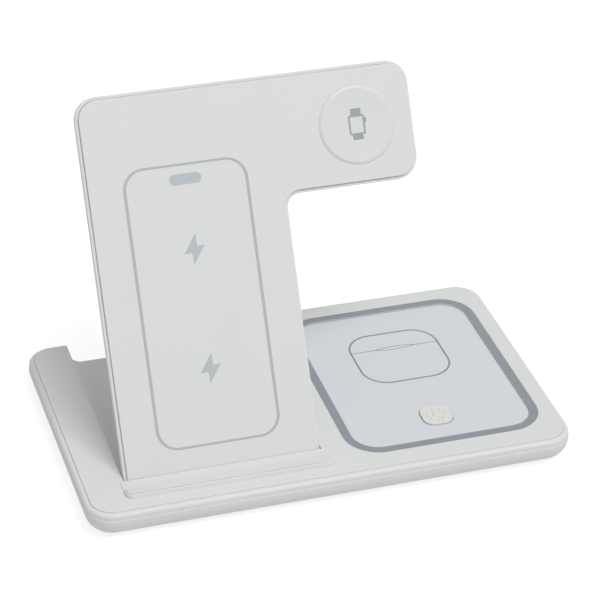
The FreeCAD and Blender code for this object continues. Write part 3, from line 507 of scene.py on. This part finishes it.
def cross_screws(centres, face, end, head):
    """Screws driven upwards: turned rings of tip, shank and head, closed by a cross recess in the face.

    The cross is a loop of radius min(length / max(|cos|, |sin|), width / min(|cos|, |sin|)) about the axis.
    """
    shank = head * SCREW_SHANK
    seat = face + head * SCREW_SEAT
    edge = head * SCREW_EDGE
    length = head * CROSS_LENGTH
    width = head * CROSS_WIDTH
    depth = head * CROSS_DEPTH
    corner = math.atan2(width, length)
    quarter = np.array([0.0, corner / 2, corner, math.pi / 8 + corner / 2])
    quarter = np.concatenate([quarter, [math.pi / 4], math.pi / 2 - quarter[:0:-1]])
    turn = (quarter + np.arange(4)[:, None] * math.pi / 2).ravel()
    run = np.stack([np.cos(turn), np.sin(turn)], axis=1)
    reach = np.abs(run)
    with np.errstate(divide="ignore"):
        cross = np.minimum(length / reach.max(axis=1), width / reach.min(axis=1))
    round_radii = np.array([shank * TIP_RADIUS, shank, shank, head, head, head - edge])
    heights = np.array([end, end - shank * TIP_LENGTH, seat, seat, face + edge, face, face, face + depth])
    radii = np.concatenate([np.outer(round_radii, np.ones_like(turn)), [cross, cross * CROSS_DRAFT]])
    levels = np.broadcast_to(heights[:, None, None], radii.shape + (1,))
    rings = np.concatenate([radii[..., None] * run, levels], axis=-1).reshape(-1, 3)
    shape = np.concatenate([rings, [[0.0, 0.0, end], [0.0, 0.0, face + depth]]])
    seats = np.concatenate([centres, np.zeros((len(centres), 1))], axis=1)
    faces = capped_faces(len(heights), len(turn))
    return joined([(screw, faces) for screw in seats[:, None, :] + shape])


class STAND_OT_shells(bpy.types.Operator):
    """Satin white finish of the base, its cover, the phone rest and the panel's back shell"""

    bl_idname = "stand.shells"
    bl_label = "Shell Finish"

    def execute(self, context):
        material = moulded_plastic("Satin white shell", context.scene.stand_colours.shell, SHELL_ROUGH)
        dress(material, "base_lower_shell", "base_top_cover", "phone_rest", "panel_rear_shell")
        return {"FINISHED"}


class STAND_OT_face(bpy.types.Operator):
    """Finish of the panel's front plate and of the watch disc"""

    bl_idname = "stand.face"
    bl_label = "Face and Disc Finish"

    def execute(self, context):
        colours = context.scene.stand_colours
        face = moulded_plastic("Smooth white face", colours.face, FACE_ROUGH, relief=FACE_RELIEF)
        dress(face, "panel_front_plate")
        disc = moulded_plastic("Smooth white disc", colours.disc, DISC_ROUGH, relief=DISC_RELIEF)
        dress(disc, "watch_puck")
        return {"FINISHED"}


class STAND_OT_pad(bpy.types.Operator):
    """Finish of the light ring and of the pale pad inside it"""

    bl_idname = "stand.pad"
    bl_label = "Ring and Pad Finish"

    def execute(self, context):
        colours = context.scene.stand_colours
        # The ring's walls carry a paler painted-light colour that lifts their shade
        ring = milky_cast_painted_walls("Milky grey ring", colours.ring, colours.ring_wall_painted_light, RING_ROUGH, MILK_DEPTH)
        dress(ring, "light_ring")
        pad = moulded_plastic("Pale pad", colours.pad, PAD_ROUGH, relief=PAD_RELIEF)
        dress(pad, "earbud_pad")
        return {"FINISHED"}


class STAND_OT_key(bpy.types.Operator):
    """Square key with a ring of raised dots round a middle dot"""

    bl_idname = "stand.key"
    bl_label = "Key"

    def execute(self, context):
        marks = context.scene.stand_marks
        material = moulded_plastic("Warm white key", context.scene.stand_colours.key, KEY_ROUGH)
        dress(material, "key_cap")
        turn = np.linspace(0.0, 2 * math.pi, marks.dot_count, endpoint=False)
        ring = KEY_CENTRE + marks.dot_ring * np.stack([np.cos(turn), np.sin(turn)], axis=1)
        small = dome_dots(ring, marks.dot_size / 2, marks.dot_height, KEY_HIGH[2])
        large = dome_dots(KEY_CENTRE[None, :], marks.dot_size, marks.dot_height, KEY_HIGH[2])
        piece = build("key_dots", *joined([small, large]), material, "key", "key_white")
        piece.data.shade_smooth()
        return {"FINISHED"}


class STAND_OT_phone_mark(bpy.types.Operator):
    """Printed outline of a phone with its sound slot and two lightning bolts, on the leaning face"""

    bl_idname = "stand.phone_mark"
    bl_label = "Phone Mark"

    def execute(self, context):
        marks = context.scene.stand_marks
        colours = context.scene.stand_colours
        neutral = moulded_plastic("Neutral print", colours.print_line, PRINT_ROUGH, relief=PRINT_RELIEF)
        cool = moulded_plastic("Cool print", colours.print_grey, PRINT_ROUGH, relief=PRINT_RELIEF)
        loop = rounded_loop(marks.phone_left, marks.phone_right, marks.phone_low, marks.phone_high,
                            marks.phone_corner)
        middle = (marks.phone_left + marks.phone_right) / 2
        slot = capsule((middle, marks.slot_up), marks.slot_length, marks.slot_height)
        width = np.array([marks.phone_line, marks.phone_cross])
        build("phone_mark", *line_ribbon(loop, width, on_panel), neutral, "panel", "face_white")
        bolts = [bolt_outline((middle, up), marks.bolt_height) for up in (marks.bolt_low, marks.bolt_high)]
        shapes = [filled_patch(path, on_panel) for path in [slot] + bolts]
        build("slot_and_bolts", *joined(shapes), cool, "panel", "face_white")
        return {"FINISHED"}


class STAND_OT_watch_mark(bpy.types.Operator):
    """Printed mark of a watch with straps and crown, on the dished disc"""

    bl_idname = "stand.watch_mark"
    bl_label = "Watch Mark"

    def execute(self, context):
        marks = context.scene.stand_marks
        ink = context.scene.stand_colours.print_watch
        material = moulded_plastic("Grey print", ink, PRINT_ROUGH, relief=PRINT_RELIEF)
        x, y = marks.watch_across, marks.watch_up
        line = marks.watch_line
        half = (marks.watch_width - line) / 2
        tall = (marks.watch_height - line) / 2
        strap = marks.strap_width / 2
        top = y + marks.watch_height / 2
        foot = y - marks.watch_height / 2
        frame_loop = rounded_loop(x - half, x + half, y - tall, y + tall, line * FRAME_CORNER)
        upper = rounded_loop(x - strap, x + strap, top, top + marks.strap_upper, line * STRAP_CORNER)
        lower = rounded_loop(x - strap, x + strap, foot - marks.strap_lower, foot, line * STRAP_CORNER)
        crown = capsule((x + half + line, y + tall * CROWN_UP), line, line * CROWN_LENGTH)
        shapes = [line_ribbon(frame_loop, line, on_disc)]
        shapes += [filled_patch(path, on_disc) for path in (upper, lower, crown)]
        build("watch_mark", *joined(shapes), material, "panel", "puck_white")
        return {"FINISHED"}


class STAND_OT_case_mark(bpy.types.Operator):
    """Printed outline of an earbud case with its lid line and hinge, on the pad"""

    bl_idname = "stand.case_mark"
    bl_label = "Earbud Case Mark"

    def execute(self, context):
        marks = context.scene.stand_marks
        ink = context.scene.stand_colours.print_dark
        material = moulded_plastic("Dark grey print", ink, PRINT_ROUGH, relief=PRINT_RELIEF)
        x, y = marks.case_across, marks.case_back
        half = marks.case_width / 2
        deep = marks.case_depth / 2
        loop = rounded_loop(x - half, x + half, y - deep, y + deep, marks.case_corner)
        lens = lens_loop((x, marks.lid_back), marks.hinge_length, marks.hinge_depth)
        side = (marks.case_width - marks.hinge_length) / 2
        out = (marks.hinge_length + side) / 2
        lids = [capsule((x + way * out, marks.lid_back), side, marks.lid_line) for way in (-1, 1)]
        shapes = [line_ribbon(loop, marks.case_line, on_pad), line_ribbon(lens, marks.lid_line, on_pad)]
        shapes += [filled_patch(lid, on_pad) for lid in lids]
        build("case_mark", *joined(shapes), material, "base", "pad_white")
        return {"FINISHED"}


class STAND_OT_screws(bpy.types.Operator):
    """Base screws with cross recesses, driven up from below"""

    bl_idname = "stand.screws"
    bl_label = "Base Screws"

    def execute(self, context):
        low = SCREWS_LOW + SCREW_HEAD
        high = SCREWS_HIGH - SCREW_HEAD
        x = np.array([low[0], context.scene.stand_marks.screw_middle, high[0]])
        y = np.array([low[1], high[1]])
        centres = np.stack(np.meshgrid(x, y, indexing="ij"), axis=-1).reshape(-1, 2)
        shape = cross_screws(centres, SCREWS_LOW[2], SCREWS_HIGH[2], SCREW_HEAD)
        piece = build("base_screws_cross", *shape, plated_steel(), "base", "steel")
        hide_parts("base_screws")
        return {"FINISHED"}


# Finishes of the fittings: kind, name, display colour, roughness and the nodes that wear it
FITTINGS = (
    (plain_metal, "Turned brass", (205, 178, 116), 0.3, ("hinge_pivot",)),
    (plain_metal, "Plated magnet", (196, 196, 198), 0.22, ("watch_magnet",)),
    (plain_metal, "Enamelled copper", (190, 118, 78), 0.38,
     ("earbud_coil", "upper_phone_coil", "lower_phone_coil", "watch_coil")),
    (moulded_plastic, "Dark ferrite", (52, 52, 56), 0.6,
     ("earbud_ferrite", "phone_ferrite", "watch_ferrite")),
    (moulded_plastic, "Green board", (40, 110, 70), 0.45, ("main_board", "light_board", "panel_board")),
    (moulded_plastic, "Black switch", (38, 38, 40), 0.5, ("key_switch", "key_plunger")),
    (moulded_plastic, "Bush plastic", (205, 205, 200), 0.45, ("hinge_bush",)),
    (moulded_plastic, "Lamp cast", (245, 238, 205), 0.25, ("light_leds",)),
)


class STAND_OT_fittings(bpy.types.Operator):
    """Finish of feet, screws, hinge pieces, inlet, boards, coils and other inner pieces"""

    bl_idname = "stand.fittings"
    bl_label = "Fittings Finish"

    def execute(self, context):
        rubber = context.scene.stand_colours.rubber
        dress(moulded_plastic("Grey rubber", rubber, RUBBER_ROUGH, relief=RUBBER_RELIEF), "rubber_feet")
        dress(plated_steel(), "base_screws", "board_screws", "panel_board_screws", "bracket_screws",
              "hinge_bracket", "hinge_shaft", "friction_washers", "hinge_nut", "usb_c_socket")
        for kind, name, display, roughness, nodes in FITTINGS:
            dress(kind(name, srgb(*display), roughness), *nodes)
        return {"FINISHED"}


def area_lamp(name, place, aim, size, power):
    """Square soft lamp at a place, facing a point."""
    data = bpy.data.lights.new(name, "AREA")
    data.size = size
    data.energy = power
    lamp = bpy.data.objects.new(name, data)
    lamp.location = place
    lamp.rotation_euler = (Vector(aim) - Vector(place)).to_track_quat("-Z", "Y").to_euler()
    bpy.context.scene.collection.objects.link(lamp)


def camera_matrix(stage):
    """Camera frame: back points from the target to the camera, right and up are turned by the roll."""
    turn = stage.azimuth
    rise = stage.elevation
    roll = stage.roll
    back = Vector((math.sin(turn) * math.cos(rise), -math.cos(turn) * math.cos(rise), math.sin(rise)))
    right = Vector((math.cos(turn), math.sin(turn), 0.0))
    up = back.cross(right)
    turned_right = right * math.cos(roll) + up * math.sin(roll)
    turned_up = up * math.cos(roll) - right * math.sin(roll)
    place = Vector(stage.target) + back * stage.distance
    rows = [[turned_right[i], turned_up[i], back[i], place[i]] for i in range(3)]
    return Matrix(rows + [[0.0, 0.0, 0.0, 1.0]])


def seen_directly(tree):
    """Socket that is one for camera, glossy and transmission rays and nought for the rest."""
    path = tree.nodes.new("ShaderNodeLightPath")
    first = tree.nodes.new("ShaderNodeMath")
    first.operation = "MAXIMUM"
    second = tree.nodes.new("ShaderNodeMath")
    second.operation = "MAXIMUM"
    tree.links.new(path.outputs["Is Camera Ray"], first.inputs[0])
    tree.links.new(path.outputs["Is Glossy Ray"], first.inputs[1])
    tree.links.new(first.outputs["Value"], second.inputs[0])
    tree.links.new(path.outputs["Is Transmission Ray"], second.inputs[1])
    return second.outputs["Value"]


def white_floor(glow):
    """Floor that shows near white by its own glow plus a thin diffuse share that keeps the shadow."""
    material = bpy.data.materials.new("White floor")
    material.use_nodes = True
    tree = material.node_tree
    tree.nodes.remove(tree.nodes["Principled BSDF"])
    output = tree.nodes["Material Output"]
    seen = seen_directly(tree)
    shine = tree.nodes.new("ShaderNodeEmission")
    shine.inputs["Strength"].default_value = glow
    thin = tree.nodes.new("ShaderNodeBsdfDiffuse")
    thin.inputs["Color"].default_value = (FLOOR_SHADE, FLOOR_SHADE, FLOOR_SHADE, 1.0)
    shown = tree.nodes.new("ShaderNodeAddShader")
    bounce = tree.nodes.new("ShaderNodeBsdfDiffuse")
    bounce.inputs["Color"].default_value = (FLOOR_BOUNCE, FLOOR_BOUNCE, FLOOR_BOUNCE, 1.0)
    mix = tree.nodes.new("ShaderNodeMixShader")
    tree.links.new(shine.outputs["Emission"], shown.inputs[0])
    tree.links.new(thin.outputs["BSDF"], shown.inputs[1])
    tree.links.new(seen, mix.inputs["Fac"])
    tree.links.new(bounce.outputs["BSDF"], mix.inputs[1])
    tree.links.new(shown.outputs["Shader"], mix.inputs[2])
    tree.links.new(mix.outputs["Shader"], output.inputs["Surface"])
    return material


def studio_sky(strength):
    """World that is plain white where it is seen and an even soft light elsewhere."""
    world = bpy.data.worlds.new("Studio sky")
    world.use_nodes = True
    tree = world.node_tree
    even = tree.nodes["Background"]
    even.inputs["Color"].default_value = (1.0, 1.0, 1.0, 1.0)
    even.inputs["Strength"].default_value = strength
    plain = tree.nodes.new("ShaderNodeBackground")
    plain.inputs["Color"].default_value = (1.0, 1.0, 1.0, 1.0)
    plain.inputs["Strength"].default_value = 1.0
    mix = tree.nodes.new("ShaderNodeMixShader")
    tree.links.new(seen_directly(tree), mix.inputs["Fac"])
    tree.links.new(even.outputs["Background"], mix.inputs[1])
    tree.links.new(plain.outputs["Background"], mix.inputs[2])
    tree.links.new(mix.outputs["Shader"], tree.nodes["World Output"].inputs["Surface"])
    return world


class STAND_OT_stage(bpy.types.Operator):
    """White floor, soft light and the camera"""

    bl_idname = "stand.stage"
    bl_label = "Studio Stage"

    def execute(self, context):
        scene = context.scene
        stage = scene.stand_stage
        mesh = bpy.data.meshes.new("floor")
        corners = FLOOR_HALF * np.array([[-1.0, -1.0, 0.0], [1.0, -1.0, 0.0],
                                         [1.0, 1.0, 0.0], [-1.0, 1.0, 0.0]])
        mesh.from_pydata(corners, [], [[0, 1, 2, 3]])
        mesh.materials.append(white_floor(stage.floor_glow))
        floor = bpy.data.objects.new("floor", mesh)
        scene.collection.objects.link(floor)
        scene.world = studio_sky(stage.sky)
        area_lamp("Key lamp", KEY_LAMP, LAMP_AIM, LAMP_SIZE, stage.key_power)
        area_lamp("Back lamp", BACK_LAMP, LAMP_AIM, LAMP_SIZE, stage.back_power)
        data = bpy.data.cameras.new("Camera")
        data.lens = stage.lens
        data.sensor_width = SENSOR_WIDTH
        data.clip_start = NEAREST_SEEN
        camera = bpy.data.objects.new("Camera", data)
        camera.matrix_world = camera_matrix(stage)
        scene.collection.objects.link(camera)
        scene.camera = camera
        scene.view_settings.view_transform = "Standard"
        return {"FINISHED"}


STEPS = (STAND_OT_shells, STAND_OT_face, STAND_OT_pad, STAND_OT_key, STAND_OT_phone_mark,
         STAND_OT_watch_mark, STAND_OT_case_mark, STAND_OT_screws, STAND_OT_fittings, STAND_OT_stage)


class STAND_PT_looks(bpy.types.Panel):
    """Lists the stand's operators"""

    bl_idname = "STAND_PT_looks"
    bl_label = "Charging Stand"
    bl_space_type = "VIEW_3D"
    bl_region_type = "UI"
    bl_category = "Stand"

    def draw(self, context):
        for step in STEPS:
            self.layout.operator(step.bl_idname)


GROUPS = {"stand_colours": StandColours, "stand_marks": StandMarks, "stand_stage": StandStage}


def register():
    """Registers the classes and hangs the settings on the scene."""
    for name, group in GROUPS.items():
        bpy.utils.register_class(group)
        setattr(bpy.types.Scene, name, PointerProperty(type=group))
    for step in STEPS:
        bpy.utils.register_class(step)
    bpy.utils.register_class(STAND_PT_looks)


def unregister():
    """Takes the classes and settings away again."""
    bpy.utils.unregister_class(STAND_PT_looks)
    for step in reversed(STEPS):
        bpy.utils.unregister_class(step)
    for name, group in GROUPS.items():
        delattr(bpy.types.Scene, name)
        bpy.utils.unregister_class(group)


def main():
    """Dresses the stand step by step."""
    register()
    bpy.ops.stand.shells()
    bpy.ops.stand.face()
    bpy.ops.stand.pad()
    bpy.ops.stand.key()
    bpy.ops.stand.phone_mark()
    bpy.ops.stand.watch_mark()
    bpy.ops.stand.case_mark()
    bpy.ops.stand.screws()
    bpy.ops.stand.fittings()
    bpy.ops.stand.stage()


if __name__ == "__main__":
    main()
